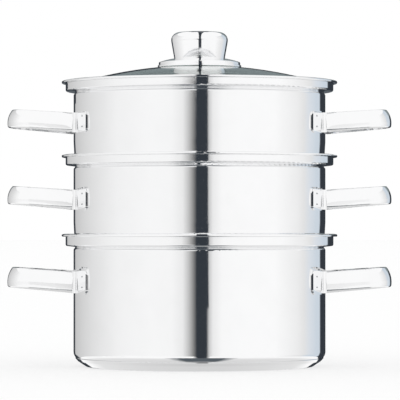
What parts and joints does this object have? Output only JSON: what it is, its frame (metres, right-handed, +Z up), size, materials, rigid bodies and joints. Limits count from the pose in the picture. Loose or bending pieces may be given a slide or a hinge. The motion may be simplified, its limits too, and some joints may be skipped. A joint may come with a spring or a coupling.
{
  "type": "steamer pot",
  "caption": "Stacking stainless steel steamer: a base pot, perforated steamer tiers with loop handles, and a domed glass lid with a steel knob, each lifting off the one below.",
  "frame": {"origin": "middle of the pot's flat underside, on the surface that it stands on", "axes": "+Z up through the knob; the loop handles point along -X and +X; the pictured side faces -Y"},
  "size_m": [0.3374, 0.242, 0.2941],
  "materials": {
    "polished_steel": "mirror polished",
    "aluminium_core": "plain",
    "clear_glass": "clear toughened",
    "moulded_core": "moulded phenolic",
    "silicone": "matt translucent",
    "screw_steel": "plain steel"
  },
  "bodies": {
    "pot": {"pot_shell": "polished_steel", "base_core": "aluminium_core", "base_cap": "polished_steel", "pot_handle_left": "polished_steel", "pot_handle_right": "polished_steel"},
    "lower_steamer": {"lower_steamer_shell": "polished_steel", "lower_steamer_handle_left": "polished_steel", "lower_steamer_handle_right": "polished_steel"},
    "upper_steamer": {"upper_steamer_shell": "polished_steel", "upper_steamer_handle_left": "polished_steel", "upper_steamer_handle_right": "polished_steel"},
    "lid": {"lid_rim": "polished_steel", "lid_glass": "clear_glass", "vent_eyelet": "polished_steel", "knob_skirt": "polished_steel", "knob_cap": "polished_steel", "knob_core": "moulded_core", "knob_seal_upper": "silicone", "knob_seal_lower": "silicone", "lid_washer": "screw_steel", "knob_screw": "screw_steel"}
  },
  "joints": [
    {"name": "lower_steamer_lift", "type": "slide", "parent": "pot", "child": "lower_steamer", "axis": [0, 0, 1], "range_m": [0, 0.12]},
    {"name": "upper_steamer_lift", "type": "slide", "parent": "lower_steamer", "child": "upper_steamer", "axis": [0, 0, 1], "range_m": [0, 0.12]},
    {"name": "lid_lift", "type": "slide", "parent": "upper_steamer", "child": "lid", "axis": [0, 0, 1], "range_m": [0, 0.12]}
  ]
}
